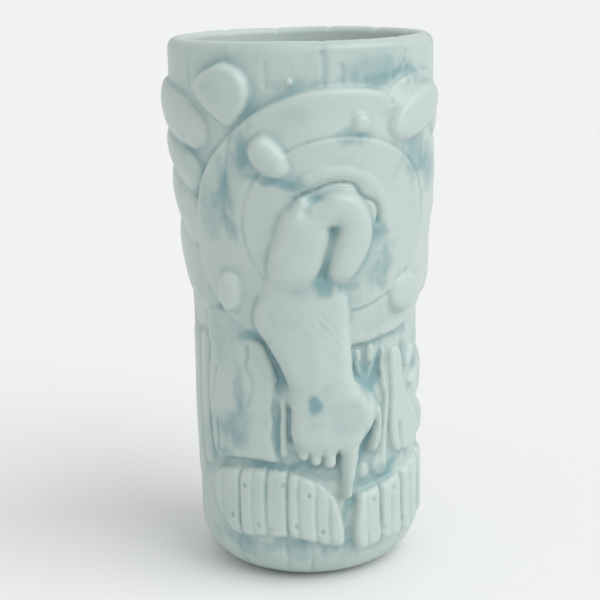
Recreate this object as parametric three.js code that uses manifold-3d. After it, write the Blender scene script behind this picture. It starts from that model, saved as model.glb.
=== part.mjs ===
// A tiki mug: a tall ceramic cup with an animal head and a pointing hand in relief on its front.
// The cup is one shell. Every raised element is a sprig, a piece of clay formed by itself and luted
// to the wall or to the sprig below it, with a thin seam of slip between the two.
// Millimetres, +Z up, the front of the head faces -Y, the origin is the centre of the resting face.
import * as THREE from "three";
import { mergeVertices } from "three/addons/utils/BufferGeometryUtils.js";
import Module from "manifold-3d";

const wasm = await Module();
wasm.setup();

// Driving sizes of the cup.
const height = 165;
const rimRadius = 40; // outer radius at the rim
const waistRadius = 34.4; // outer radius of the lower half
const wall = 5;
const floorThickness = 6.5;
const footRounding = 14.5;
const floorFillet = 7;
const lipOutside = 3; // how far the lip rounds over towards the outside
const taperStart = 0.42; // shares of the height between which the wall widens
const taperEnd = 0.95;
const footGroove = { radius: 15, width: 2.4, depth: 0.8 }; // dry line under the foot where the glaze stops

// Seams and steps of the relief.
const seam = 0.3; // slip between two neighbours
const bed = 0.4; // slip under a sprig
const headStep = 2; // thickness of the head's disc
const plateStep = 1.2; // thickness of the face plate on the disc
const edgeHeight = 0.5; // share of a sprig's thickness where its edge starts to round over
const cutterRadii = [160, 5]; // a cutter reaches from well outside the mug to near its axis
const cutterLifts = [9, 4, -1.5]; // and follows its outline closely between these lifts over the wall

// How finely the surfaces are faceted.
const cupSides = 48;
const footSteps = 5;
const wallSteps = 11;
const innerSteps = 4;
const pointSpacing = 5.2; // along an outline
const ringSpacing = 6.5; // from an outline inwards
const skinColumn = 8; // degrees
const skinRow = 7;

const onWall = bed;
const onHead = onWall + headStep + bed;
const onPlate = onHead + plateStep + bed;
const chartRadius = (rimRadius + waistRadius) / 2; // the relief is drawn on a flat chart of this radius

const glaze = new THREE.MeshStandardMaterial({ color: 0xb9cdc7, roughness: 0.45, metalness: 0 });
const paleGlaze = new THREE.MeshStandardMaterial({ color: 0xc6d8d2, roughness: 0.42, metalness: 0 });

const root = new THREE.Group();

function smooth(t) {
  const x = THREE.MathUtils.clamp(t, 0, 1);
  return x * x * (3 - 2 * x);
}

// Outer radius of the cup's wall at height z.
function wallRadius(z) {
  const share = (z / height - taperStart) / (taperEnd - taperStart);
  if (z >= footRounding) return waistRadius + (rimRadius - waistRadius) * smooth(share);
  const drop = footRounding - Math.max(z, 0);
  return waistRadius - footRounding + Math.sqrt(footRounding ** 2 - drop ** 2);
}

function arc(cx, cy, radius, fromDegrees, toDegrees, steps) {
  const points = [];
  for (let i = 0; i <= steps; i++) {
    const a = THREE.MathUtils.degToRad(fromDegrees + ((toDegrees - fromDegrees) * i) / steps);
    points.push(new THREE.Vector2(cx + radius * Math.cos(a), cy + radius * Math.sin(a)));
  }
  return points;
}

// The cup, turned from one profile that starts and ends on the axis.
function cupGeometry() {
  const groove = footGroove;
  const lipStart = height - lipOutside;
  const lipCentre = wallRadius(lipStart) - lipOutside;
  const lipInside = wall - lipOutside;
  const innerTop = height - lipInside;
  const innerBottom = floorThickness + floorFillet;
  const profile = [
    new THREE.Vector2(0, 0),
    new THREE.Vector2(groove.radius - groove.width / 2, 0),
    new THREE.Vector2(groove.radius, groove.depth),
    new THREE.Vector2(groove.radius + groove.width / 2, 0),
    ...arc(waistRadius - footRounding, footRounding, footRounding, -90, 0, footSteps),
  ];
  for (let i = 1; i < wallSteps; i++) {
    const z = footRounding + ((lipStart - footRounding) * i) / wallSteps;
    profile.push(new THREE.Vector2(wallRadius(z), z));
  }
  profile.push(...arc(lipCentre, lipStart, lipOutside, 0, 90, 3));
  profile.push(...arc(lipCentre, innerTop, lipInside, 90, 180, 2).slice(1));
  for (let i = 1; i < innerSteps; i++) {
    const z = innerTop + ((innerBottom - innerTop) * i) / innerSteps;
    profile.push(new THREE.Vector2(wallRadius(z) - wall, z));
  }
  profile.push(...arc(waistRadius - wall - floorFillet, innerBottom, floorFillet, 0, -90, 3));
  profile.push(new THREE.Vector2(0, floorThickness));
  return new THREE.LatheGeometry(profile, cupSides).rotateX(Math.PI / 2);
}

// The chart: x runs round the wall in millimetres, y is the height. A place is given as degrees from the
// front, positive towards +X, and per cent of the mug's height, so the carving stretches with the cup.
function onChart([degrees, percent]) {
  return new THREE.Vector2(THREE.MathUtils.degToRad(degrees) * chartRadius, (percent / 100) * height);
}

function around(point, radius) {
  const angle = point.x / chartRadius;
  return [radius * Math.sin(angle), -radius * Math.cos(angle), point.y];
}

const onMug = (point, lift) => around(point, wallRadius(point.y) + lift);

// A closed solid from a triangulated patch of the chart. The patch is laid over the mug as two or more
// layers, from the face to the back; the faces close both ends and bands join the layers' rims.
function closed(layers, triangles, rim) {
  const n = layers[0].length;
  const last = (layers.length - 1) * n;
  const index = [];
  for (const [a, b, c] of triangles) index.push(a, b, c, last + a, last + c, last + b);
  for (let top = 0; top < last; top += n) {
    rim.forEach((from, i) => {
      const a = top + from;
      const b = top + rim[(i + 1) % rim.length];
      index.push(a, n + a, b, b, n + a, n + b);
    });
  }
  const geometry = new THREE.BufferGeometry();
  geometry.setAttribute("position", new THREE.Float32BufferAttribute(layers.flat(2), 3));
  return toSolid(geometry.setIndex(index));
}

// A contour swept radially through the wall, to cut or trim with.
function cutter(contour) {
  const ends = cutterRadii.map((radius) => contour.map((p) => around(p, radius)));
  const between = cutterLifts.map((lift) => contour.map((p) => onMug(p, lift)));
  const caps = THREE.ShapeUtils.triangulateShape(contour, []);
  return closed([ends[0], ...between, ends[1]], caps, contour.map((_, i) => i));
}

function grown(contour, distance) {
  return contour.map((p, i) => {
    const before = contour.at(i - 1);
    const after = contour[(i + 1) % contour.length];
    const outward = new THREE.Vector2(after.y - before.y, before.x - after.x).normalize();
    return p.clone().addScaledVector(outward, distance);
  });
}

// A closed spline through a few places, counter-clockwise.
function contourThrough(outline) {
  const knots = outline.map(onChart).map((p) => new THREE.Vector3(p.x, p.y, 0));
  const curve = new THREE.CatmullRomCurve3(knots, true, "centripetal");
  const count = Math.max(12, Math.round(curve.getLength() / pointSpacing));
  const contour = curve.getSpacedPoints(count).slice(0, count).map((p) => new THREE.Vector2(p.x, p.y));
  return THREE.ShapeUtils.isClockWise(contour) ? contour.reverse() : contour;
}

// A quad of a grid as two triangles.
const quad = (a, b, c, d) => [[a, b, c], [a, c, d]];

// A sprig that leans is thicker at its end towards -X by a share of its thickness, and thinner at the other.
function leaning(contour, lean) {
  const box = new THREE.Box2().setFromPoints(contour);
  return (p) => 1 + lean * (1 - (2 * (p.x - box.min.x)) / (box.max.x - box.min.x));
}

// A pad: an outline filled by rings that shrink towards its middle, rounded over and crowned.
function pad({ outline, seat, thick, crown = 0, lean = 0 }) {
  const contour = contourThrough(outline);
  const tilt = leaning(contour, lean);
  const count = contour.length;
  const middle = contour.reduce((sum, p) => sum.add(p), new THREE.Vector2()).divideScalar(count);
  const reach = Math.max(...contour.map((p) => p.distanceTo(middle)));
  const inner = 1 - Math.min(0.3, thick / reach);
  const rings = Math.max(1, Math.ceil((reach * inner) / ringSpacing));
  const shares = [1];
  for (let k = 0; k < rings; k++) shares.push(inner * (1 - k / rings));
  const points = shares.flatMap((share) => contour.map((p) => middle.clone().lerp(p, share)));
  const dome = (share) => thick * (1 + crown * (1 - share * share)) * (share === 1 ? edgeHeight : 1);
  const lifts = points.map((p, i) => seat + dome(shares[Math.floor(i / count)]) * tilt(p));
  points.push(middle);
  lifts.push(seat + dome(0) * tilt(middle));
  const triangles = [];
  for (let i = 0; i < count; i++) {
    const j = (i + 1) % count;
    for (let k = 0; k < rings; k++) {
      triangles.push(...quad(k * count + i, k * count + j, (k + 1) * count + j, (k + 1) * count + i));
    }
    triangles.push([rings * count + i, rings * count + j, points.length - 1]);
  }
  const face = points.map((p, i) => onMug(p, lifts[i]));
  const back = points.map((p) => onMug(p, seat));
  return { solid: closed([face, back], triangles, contour.map((_, i) => i)), contour };
}

// A roll: a rounded strip along a spline, through stations of [degrees, per cent, half width in per cent].
function roll({ path, seat, thick }) {
  const stations = path.map(([degrees, percent, half]) => {
    const p = onChart([degrees, percent]);
    return new THREE.Vector3(p.x, p.y, (half / 100) * height);
  });
  const curve = new THREE.CatmullRomCurve3(stations, false, "centripetal");
  const steps = Math.max(5, Math.round(curve.getLength() / pointSpacing));
  const across = [-1, -0.6, 0, 0.6, 1];
  const points = [];
  const lifts = [];
  for (let i = 0; i <= steps; i++) {
    const here = curve.getPointAt(i / steps);
    const along = curve.getTangentAt(i / steps).setZ(0).normalize();
    const endward = Math.abs((2 * i) / steps - 1);
    const blunt = Math.sqrt(1 - 0.8 * endward ** 6); // both ends close in a blunt tip
    for (const u of across) {
      const side = u * here.z * blunt;
      points.push(new THREE.Vector2(here.x - along.y * side, here.y + along.x * side));
      lifts.push(seat + thick * blunt * (edgeHeight + (1 - edgeHeight) * Math.sqrt(1 - u * u)));
    }
  }
  const m = across.length;
  const triangles = [];
  for (let i = 0; i < steps; i++) {
    for (let k = 0; k + 1 < m; k++) {
      triangles.push(...quad(i * m + k + 1, i * m + k, (i + 1) * m + k, (i + 1) * m + k + 1));
    }
  }
  const rim = [];
  for (let k = m - 1; k > 0; k--) rim.push(k);
  for (let i = 0; i < steps; i++) rim.push(i * m);
  for (let k = 0; k + 1 < m; k++) rim.push(steps * m + k);
  for (let i = steps; i > 0; i--) rim.push(i * m + m - 1);
  const face = points.map((p, i) => onMug(p, lifts[i]));
  const back = points.map((p) => onMug(p, seat));
  return { solid: closed([face, back], triangles, rim), contour: rim.map((i) => points[i]) };
}

// A skin: a layer over a grid of the wall, trimmed to an outline.
function skin({ outline, seat, thick, lean = 0 }) {
  const contour = contourThrough(outline);
  const tilt = leaning(contour, lean);
  const box = new THREE.Box2().setFromPoints(contour).expandByScalar(1);
  const size = box.getSize(new THREE.Vector2());
  const columns = Math.ceil(size.x / (THREE.MathUtils.degToRad(skinColumn) * chartRadius));
  const rows = Math.ceil(size.y / skinRow);
  const points = [];
  for (let i = 0; i <= columns; i++) {
    for (let k = 0; k <= rows; k++) {
      points.push(new THREE.Vector2(i / columns, k / rows).multiply(size).add(box.min));
    }
  }
  const m = rows + 1;
  const triangles = [];
  for (let i = 0; i < columns; i++) {
    for (let k = 0; k < rows; k++) {
      triangles.push(...quad(i * m + k, (i + 1) * m + k, (i + 1) * m + k + 1, i * m + k + 1));
    }
  }
  const rim = [];
  for (let i = 0; i < columns; i++) rim.push(i * m);
  for (let k = 0; k < rows; k++) rim.push(columns * m + k);
  for (let i = columns; i > 0; i--) rim.push(i * m + rows);
  for (let k = rows; k > 0; k--) rim.push(k);
  const face = points.map((p) => onMug(p, seat + thick * tilt(p)));
  const back = points.map((p) => onMug(p, seat));
  return { solid: closed([face, back], triangles, rim).intersect(cutter(contour)), contour };
}

function toSolid(geometry) {
  const merged = mergeVertices(geometry, 1e-4);
  const mesh = { numProp: 3, vertProperties: merged.attributes.position.array };
  return new wasm.Manifold(new wasm.Mesh({ ...mesh, triVerts: new Uint32Array(merged.index.array) }));
}

function toGeometry(solid) {
  const mesh = solid.getMesh();
  const geometry = new THREE.BufferGeometry();
  geometry.setAttribute("position", new THREE.BufferAttribute(mesh.vertProperties, 3));
  return geometry.setIndex(new THREE.BufferAttribute(mesh.triVerts, 1));
}

function ellipse(degrees, percent, halfDegrees, halfPercent, count = 10) {
  const points = [];
  for (let i = 0; i < count; i++) {
    const a = (2 * Math.PI * i) / count;
    points.push([degrees + halfDegrees * Math.cos(a), percent + halfPercent * Math.sin(a)]);
  }
  return points;
}

const mirrored = (points) => points.map(([degrees, ...rest]) => [-degrees, ...rest]);

// The sprigs, topmost first: each is cut clear of all those before it.
const sprigs = [];
const add = (make, name, options) => sprigs.push({ make, name, seat: onWall, ...options });

// Muzzle: two hanging lobes in the open mouth.
add(pad, "right_lobe", {
  outline: [[-11.3, 72.9], [-7.8, 74.8], [-0.8, 75.5], [5.3, 74.6], [9.7, 72.4], [12.6, 69.3], [12.9, 65.5],
    [9.9, 62.1], [5.9, 59.5], [0.3, 57.8], [-6, 57.6], [-9.2, 59.4], [-8.2, 62.7], [-6.2, 66], [-6.2, 68],
    [-8.4, 69.2], [-11.4, 70.8]],
  thick: 6.9,
  crown: 0.26,
});
add(pad, "left_lobe", {
  outline: [[-15.1, 74.2], [-19, 74], [-22.3, 72.6], [-25.9, 71.2], [-29.3, 67.3], [-32.1, 63.3], [-33.1, 60.1],
    [-31, 57.8], [-24.1, 56.5], [-17, 56.7], [-11.5, 57.9], [-8, 60.2], [-5.8, 63.2], [-4.2, 66.3], [-4.2, 68.6],
    [-7, 71], [-10, 72.6], [-13, 73.6]],
  thick: 6.6,
  crown: 0.28,
});

// Pointing hand, and the forearm it hangs from.
add(roll, "thumb", {
  path: [[12.6, 37.1, 1.3], [17, 34.3, 1.4], [18.2, 31, 1.3], [17.2, 28.1, 1.2], [14.6, 25.7, 0.9]],
  thick: 4,
});
add(pad, "hand_back", {
  outline: [[-22, 37.3], [-14.8, 37.9], [-5.1, 38], [4.9, 38.2], [12, 37.6], [15.6, 36], [17, 33.6], [16.4, 31.2],
    [13.4, 29.4], [10, 27.8], [7, 26], [2.9, 25.6], [-2.2, 26.2], [-7.1, 25.8], [-12.9, 26.2], [-18.7, 26.7],
    [-22.5, 28.1], [-24.4, 30], [-24.5, 32.8], [-23.8, 35.4]],
  thick: 4.8,
  crown: 0.16,
});
add(roll, "index_finger", {
  path: [[4.8, 29.6, 2.6], [4.2, 26.5, 2.15], [3.3, 23.2, 1.6], [2.8, 20, 1.2], [2.4, 17, 0.9]],
  thick: 4.8,
});
add(roll, "middle_finger", { path: [[-5.9, 29, 1.5], [-5.8, 26.1, 1.5], [-5.6, 23.4, 1.35]], thick: 4.2 });
add(roll, "ring_finger", { path: [[-12.5, 29, 1.35], [-12.4, 26.4, 1.35], [-12.2, 24, 1.2]], thick: 4 });
add(roll, "little_finger", { path: [[-18.4, 29.6, 1.25], [-18.2, 27.2, 1.25], [-17.8, 24.8, 1.1]], thick: 3.7 });
add(pad, "forearm", {
  outline: [[-36, 57], [-31, 60], [-20, 60.4], [-10, 60], [-2, 59.4], [3.4, 56.6], [4.6, 50], [5.8, 44.8], [6.5, 41],
    [8.4, 38.2], [2.3, 37.2], [-7.6, 36.8], [-18, 36.8], [-23.6, 38], [-26.2, 40.4], [-29.8, 43.5], [-34.6, 46.8],
    [-39.4, 49.6], [-40.4, 53]],
  thick: 5.4,
  crown: 0.2,
});

// Eyes, ears and the round knobs at the corners of the mouth.
add(pad, "left_eye", {
  outline: [[-30.9, 84.6], [-26.2, 83.4], [-22, 81], [-20.8, 78.2], [-25, 76.8], [-32.2, 78], [-37, 80.4],
    [-36.6, 83.2]],
  seat: onHead,
  thick: 2.8,
  crown: 0.45,
});
add(pad, "right_eye", { outline: ellipse(7, 86, 3.7, 1.75), seat: onHead, thick: 2, crown: 0.05 });
add(pad, "left_ear", {
  outline: [[-48, 96.6], [-41, 95.4], [-37.2, 93], [-37, 90], [-41, 87.2], [-46.5, 85.5], [-52, 86.8], [-59, 89.2],
    [-63.6, 92], [-61.4, 94.2], [-55, 95.6]],
  thick: 3.1,
  crown: 0.1,
});
add(pad, "right_ear", {
  outline: [[18.6, 84.8], [21, 82.6], [29, 82], [40.3, 83], [52, 85.2], [60.5, 88], [56.5, 91], [44.1, 91.9],
    [32, 90.9], [23.6, 88.4]],
  thick: 3.3,
  crown: 0.2,
  lean: 0.45,
});
add(pad, "right_ear_back", {
  outline: [[21.5, 89.8], [23.6, 91.9], [30, 93.4], [39.8, 94.2], [51, 93.4], [57, 91.4], [53, 88.6], [37, 86.6],
    [28, 86.4]],
  thick: 1.4,
  lean: 0.3,
});
add(pad, "left_knob", { outline: ellipse(-50.5, 56.4, 6.5, 3.8), seat: onHead, thick: 2.2, crown: 0.3 });
add(pad, "right_knob", { outline: ellipse(33, 55, 10.5, 3.7), seat: onHead, thick: 2.2, crown: 0.3 });
add(pad, "brow_peg", { outline: ellipse(-20.9, 93.3, 1.8, 0.75), thick: 1.1, crown: 0.1 });

// Face: a lip round the open mouth, on a round plate, on the head's broad disc.
add(roll, "mouth_lip", {
  path: [[-18.6, 74.8, 1.2], [-12.9, 77.1, 1.1], [-5.8, 77.9, 1.1], [1.4, 77.6, 1.1], [9.2, 76.1, 1.1],
    [15.2, 73.3, 1.1], [19.1, 70, 1.1], [20, 66.5, 1.2]],
  seat: onPlate,
  thick: 0.8,
});
add(skin, "face_plate", { outline: ellipse(0, 68.5, 41.5, 15.6, 16), seat: onHead, thick: plateStep });
const headHalf = [[0, 92.3], [14, 91.8], [27, 89.9], [40, 87], [50, 83.3], [61, 78.2], [69, 71], [71.5, 64],
  [66.5, 57], [55, 51.5], [40, 48.3], [20, 46.5]];
add(skin, "head_disc", {
  outline: [...headHalf, [0, 46], ...mirrored(headHalf.slice(1)).reverse()],
  thick: headStep,
});

// Locks of the mane: four on each side, sweeping down and forward to the edge of the head.
const locks = [
  [[-126, 89.6, 2.2], [-108, 89.2, 3.6], [-90, 87.6, 4.4], [-72, 85.6, 4.2], [-61, 83.4, 3]],
  [[-126, 81.6, 2.2], [-106, 81, 3], [-88, 79.4, 3.4], [-76, 77.6, 3.7], [-66, 75, 3]],
  [[-126, 73.4, 2.4], [-106, 73, 4], [-87, 71, 4.8], [-76, 68.6, 4.6], [-69, 65.6, 3.4]],
  [[-124, 63, 2.6], [-104, 62.2, 4.8], [-84, 59.4, 6], [-72, 56.2, 4.8], [-64, 53, 3]],
];
const leftLocks = [2.6, 2.1, 2, 1.8]; // thickness from the top lock down
const rightLocks = [1.4, 1.7, 2.9, 3.1];
locks.forEach((path, i) => {
  add(roll, `left_lock_${i + 1}`, { path, thick: leftLocks[i] });
  add(roll, `right_lock_${i + 1}`, { path: mirrored(path), thick: rightLocks[i] });
});

// Base: two plaques, and the bark between them and the head.
add(skin, "left_plaque", {
  outline: [[-67, 21], [-47.4, 22.9], [-36, 23.5], [-19, 22.4], [-9.8, 20.6], [-3, 17.6], [0.2, 13.4], [0.4, 8.4],
    [-8.8, 8.6], [-21, 9.9], [-37, 10.1], [-55, 9.7], [-64, 12.4], [-68.5, 16]],
  thick: 2.5,
});
add(skin, "right_plaque", {
  outline: [[8, 17.9], [14.8, 18.6], [26, 19.3], [37, 20.1], [48, 21.4], [58, 22.2], [66, 21.8], [70, 17], [66, 12],
    [56.5, 8.9], [42.9, 7.4], [21, 7.4], [8, 7], [5.6, 11], [6.8, 15.5]],
  thick: 2.2,
  lean: 0.35,
});
add(skin, "left_bark_slab", {
  outline: [[-46.3, 48], [-38, 47.1], [-33.4, 44], [-29.9, 40.3], [-31.9, 37.5], [-33.2, 34.6], [-32.3, 32.1],
    [-33.9, 29.5], [-32.4, 26.6], [-31.5, 24.6], [-42.6, 24.6], [-56.1, 24.2], [-66.5, 23.2], [-70.1, 25.3],
    [-71.9, 29.1], [-72.6, 33.3], [-72.5, 37.7], [-70.6, 42.2], [-67.5, 46.6], [-57, 48.6]],
  thick: 1.6,
});
add(skin, "right_bark_drip_4", {
  outline: [[29.2, 44.2], [34.6, 44.3], [38, 41], [39.6, 37.4], [43, 34.5], [49.3, 31.6], [54.4, 27.8], [51.5, 24.8],
    [45, 23.4], [38.8, 23.6], [32.9, 23.8], [29.5, 26.1], [28.5, 30.5], [29.5, 35.8], [28.4, 40.1]],
  thick: 1.7,
});
const barkRolls = [
  ["left_bark_strip_1", 1.5, [[-28.4, 37.6, 0.7], [-27.3, 33.9, 0.85], [-27.9, 29.7, 0.85], [-27.9, 25.4, 0.8]]],
  ["left_bark_strip_2", 1, [[-77.4, 47.4, 2], [-79.4, 38, 2], [-78.2, 29, 2.1], [-77.6, 21, 1.8]]],
  ["left_bark_strip_3", 0.9, [[-90, 47.4, 2.6], [-91.5, 38, 2.7], [-90, 28, 2.9], [-89, 17, 2.4]]],
  ["right_bark_drip_1", 1.4, [[9.4, 45.6, 0.75], [10, 42.4, 0.6]]],
  ["right_bark_drip_2", 1.4, [[16.7, 46, 1], [15.8, 42.2, 0.8]]],
  ["right_bark_drip_3", 1.7, [[24.9, 45, 0.6], [23, 42, 0.6], [23.9, 38.8, 0.7], [26, 35.6, 0.7], [25, 31.9, 0.8],
    [24, 27.7, 0.85], [23.4, 24.5, 1], [22, 22, 1]]],
  ["right_bark_drip_5", 1.6, [[50, 43.4, 1], [45.8, 41.3, 1.1], [41.6, 39.5, 0.9]]],
  ["right_bark_drip_6", 1.7, [[61, 39.3, 1.1], [53, 37.1, 1.2], [46, 35.7, 0.95]]],
  ["right_bark_drip_7", 1.7, [[68, 40.4, 1.2], [73, 37, 2], [76, 34.2, 2], [73, 31.4, 1.3]]],
  ["right_bark_drip_8", 2.3, [[71, 29.6, 1.1], [76, 27.4, 1.9], [77.5, 25, 2], [75, 23, 1.3]]],
  ["right_bark_drip_9", 1.2, [[86, 47, 2.2], [88.5, 38, 2.3], [85.5, 28, 2.5], [87, 18, 2.2]]],
];
for (const [name, thick, path] of barkRolls) add(roll, name, { path, thick });

function addMesh(name, geometry, material) {
  const mesh = new THREE.Mesh(geometry, material);
  mesh.name = name;
  root.add(mesh);
}

addMesh("cup", cupGeometry(), glaze);

const cutters = [];
for (const sprig of sprigs) {
  const form = sprig.make(sprig);
  let solid = form.solid;
  const box = solid.boundingBox();
  for (const other of cutters) {
    const apart = [0, 1, 2].some((k) => other.box.min[k] - seam > box.max[k] || other.box.max[k] + seam < box.min[k]);
    const stacked = other.seat > sprig.seat + sprig.thick;
    if (!apart && !stacked) solid = solid.subtract(other.tool);
  }
  cutters.push({ tool: cutter(grown(form.contour, seam)), box, seat: sprig.seat });
  addMesh(sprig.name, toGeometry(solid), paleGlaze);
}

export default root;
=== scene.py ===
import math
import bpy
import numpy as np
from mathutils import Matrix, Vector


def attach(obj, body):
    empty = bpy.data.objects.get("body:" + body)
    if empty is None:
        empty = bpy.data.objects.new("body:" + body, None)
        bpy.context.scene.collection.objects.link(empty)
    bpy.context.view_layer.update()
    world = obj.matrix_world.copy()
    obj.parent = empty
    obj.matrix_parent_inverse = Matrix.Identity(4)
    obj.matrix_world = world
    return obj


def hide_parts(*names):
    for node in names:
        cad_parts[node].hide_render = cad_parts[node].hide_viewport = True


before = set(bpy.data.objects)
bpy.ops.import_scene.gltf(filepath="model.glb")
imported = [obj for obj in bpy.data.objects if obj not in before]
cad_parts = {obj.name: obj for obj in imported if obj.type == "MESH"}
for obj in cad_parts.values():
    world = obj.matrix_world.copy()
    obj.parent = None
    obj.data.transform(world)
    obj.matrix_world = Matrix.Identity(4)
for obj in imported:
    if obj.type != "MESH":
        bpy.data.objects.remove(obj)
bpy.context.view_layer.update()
print("stage: frame loaded,", len(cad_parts), "nodes")

mm = 0.001

camera = {
    "distance": 450,
    "height": 191,
    "azimuth": -16,
    "down": 13.6,
    "roll": 1.2,
    "turn": 0.21,
    "lens": 88.2,
    "sensor": 36,
    "nearest": 10,
}
studio = {
    "floorSize": 40.0,
    "floorTones": ((0.86, 0.87, 0.87, 1), (0.88, 0.885, 0.885, 1)),
    "floorGrain": 3.0,
    "floorRoughness": 0.8,
    "worldLight": 0.68,
    "keyPower": 1.6,
    "keyTurn": 42,
    "keyRise": 43,
    "keySoftness": 55,
}


def deselectAll():
    if bpy.context.object and bpy.context.object.mode != "OBJECT":
        bpy.ops.object.mode_set(mode="OBJECT")
    bpy.ops.object.select_all(action="DESELECT")


def addCamera():
    side = math.radians(camera["azimuth"])
    reach = camera["distance"] * mm
    stand = (reach * math.sin(side), -reach * math.cos(side), camera["height"] * mm)
    deselectAll()
    bpy.ops.object.camera_add(location=stand)
    eye = bpy.context.object
    eye.name = "viewCamera"
    turned = Matrix.Rotation(side + math.radians(camera["turn"]), 4, "Z")
    tipped = Matrix.Rotation(math.radians(90 - camera["down"]), 4, "X")
    rolled = Matrix.Rotation(math.radians(-camera["roll"]), 4, "Z")
    eye.rotation_euler = (turned @ tipped @ rolled).to_euler()
    eye.data.lens = camera["lens"]
    eye.data.sensor_width = camera["sensor"]
    eye.data.clip_start = camera["nearest"] * mm
    bpy.context.scene.camera = eye


def addKeyLight():  # one broad soft light from the front right
    turn, rise = math.radians(studio["keyTurn"]), math.radians(studio["keyRise"])
    towards = Vector((math.sin(turn) * math.cos(rise), -math.cos(turn) * math.cos(rise), math.sin(rise)))
    deselectAll()
    bpy.ops.object.light_add(type="SUN", location=towards)
    lamp = bpy.context.object
    lamp.name = "keyLight"
    lamp.rotation_euler = (-towards).to_track_quat("-Z", "Y").to_euler()
    lamp.data.angle = math.radians(studio["keySoftness"])
    lamp.data.energy = studio["keyPower"]


def plug(tree, value, slot):  # a wire is linked, a plain value is set
    if isinstance(value, Wire):
        tree.links.new(value.socket, slot)
    else:
        slot.default_value = value


class Wire:  # one socket of a node tree, with arithmetic
    def __init__(self, tree, socket):
        self.tree = tree
        self.socket = socket

    def combine(self, operation, first, second):
        node = self.tree.nodes.new("ShaderNodeMath")
        node.operation = operation
        for slot, value in zip(node.inputs, (first, second)):
            plug(self.tree, value, slot)
        return Wire(self.tree, node.outputs[0])

    def __add__(self, other):
        return self.combine("ADD", self, other)

    def __radd__(self, other):
        return self.combine("ADD", other, self)

    def __sub__(self, other):
        return self.combine("SUBTRACT", self, other)

    def __rsub__(self, other):
        return self.combine("SUBTRACT", other, self)

    def __mul__(self, other):
        return self.combine("MULTIPLY", self, other)

    def __rmul__(self, other):
        return self.combine("MULTIPLY", other, self)

    def __truediv__(self, other):
        return self.combine("DIVIDE", self, other)

    def __rtruediv__(self, other):
        return self.combine("DIVIDE", other, self)

    def power(self, exponent):
        return self.combine("POWER", self, exponent)

    def most(self, other):
        return self.combine("MAXIMUM", self, other)

    def least(self, other):
        return self.combine("MINIMUM", self, other)

    def limited(self):
        return self.most(0.0).least(1.0)


class Shader:  # a material's node tree
    def __init__(self, name):
        self.material = bpy.data.materials.new(name)
        self.material.use_nodes = True
        self.tree = self.material.node_tree
        self.surface = self.tree.nodes["Principled BSDF"]

    def node(self, kind, settings=None, output=0, **sockets):
        made = self.tree.nodes.new("ShaderNode" + kind)
        for key, value in (settings or {}).items():
            setattr(made, key, value)
        for key, value in sockets.items():
            numbered = key[0] == "i" and key[1:].isdigit()
            plug(self.tree, value, made.inputs[int(key[1:]) if numbered else key])
        return Wire(self.tree, made.outputs[output])

    def feed(self, socket, value):
        plug(self.tree, value, self.surface.inputs[socket])

    def colourMix(self, share, first, second):  # its colour sockets have the same names, so they go by number
        settings = {"data_type": "RGBA", "blend_type": "MIX"}
        return self.node("Mix", settings, output=2, i0=share, i6=first, i7=second)

    def cloud(self, where, scale, detail=3.0):
        return self.node("TexNoise", Vector=where, Scale=scale, Detail=detail, Roughness=0.55)

    def stretched(self, where, factors):
        return self.node("Mapping", {"vector_type": "POINT"}, Vector=where, Scale=factors)


addCamera()
addKeyLight()

world = bpy.data.worlds.new("softWorld")
bpy.context.scene.world = world
world.use_nodes = True
sky = world.node_tree.nodes["Background"]
sky.inputs["Color"].default_value = (1, 1, 1, 1)
sky.inputs["Strength"].default_value = studio["worldLight"]
bpy.context.scene.view_settings.view_transform = "Standard"

deselectAll()
bpy.ops.mesh.primitive_plane_add(size=studio["floorSize"], location=(0, 0, 0))
floor = bpy.context.object
floor.name = "floor"
floorPaint = Shader("paleFloor")
floorGrain = floorPaint.cloud(floorPaint.node("TexCoord", output="Object"), studio["floorGrain"])
floorPaint.feed("Base Color", floorPaint.colourMix(floorGrain, *studio["floorTones"]))
floorPaint.feed("Roughness", studio["floorRoughness"])
floor.data.materials.append(floorPaint.material)
print("stage: camera, lamps and floor")

# The cup, as in the CAD part. Millimetres from here on, made metres when a mesh is set in place.
cup = {
    "height": 165,
    "rimRadius": 40,
    "waistRadius": 34.4,
    "wall": 5,
    "floor": 6.5,
    "footRounding": 14.5,
    "floorFillet": 7,
    "lipOutside": 3,
    "taper": (0.42, 0.95),
    "groove": (15, 2.4, 0.8),
    "sides": 336,
    "rowStep": 0.72,
    "footRows": 18,
    "lipRows": 8,
    "innerRows": 32,
    "plainLip": (4, 0.4),
    "brim": (4, 1),
    "notchShare": 0.55,
    "notchStart": 0.12,
}
chartRadius = (cup["rimRadius"] + cup["waistRadius"]) / 2
chartTurn = 2 * math.pi * chartRadius
bed = 0.4  # slip under a sprig
headStep = 2  # thickness of the head's disc
plateStep = 1.2  # thickness of the face plate on the disc
onHead = bed + headStep + bed
onPlate = onHead + plateStep + bed

# How finely outlines and lines are drawn, and the cells of the chart. Lengths are in millimetres.
drawing = {
    "splinePoints": 24,
    "outlineStep": 0.9,
    "pathStep": 0.7,
    "lineStep": 0.6,
    "lineReach": 5,
    "tipPoints": 9,
    "tipStart": 0.9,
    "outside": 10.0,
    "cell": 0.36,
    "rippleRows": 60,
}


def wallRadius(z):
    z = np.asarray(z, float)
    low, high = cup["taper"]
    share = np.clip((z / cup["height"] - low) / (high - low), 0, 1)
    radius = cup["waistRadius"] + (cup["rimRadius"] - cup["waistRadius"]) * share * share * (3 - 2 * share)
    drop = np.clip(cup["footRounding"] - z, 0, cup["footRounding"])
    return radius - cup["footRounding"] + np.sqrt(cup["footRounding"] ** 2 - drop ** 2)


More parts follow.
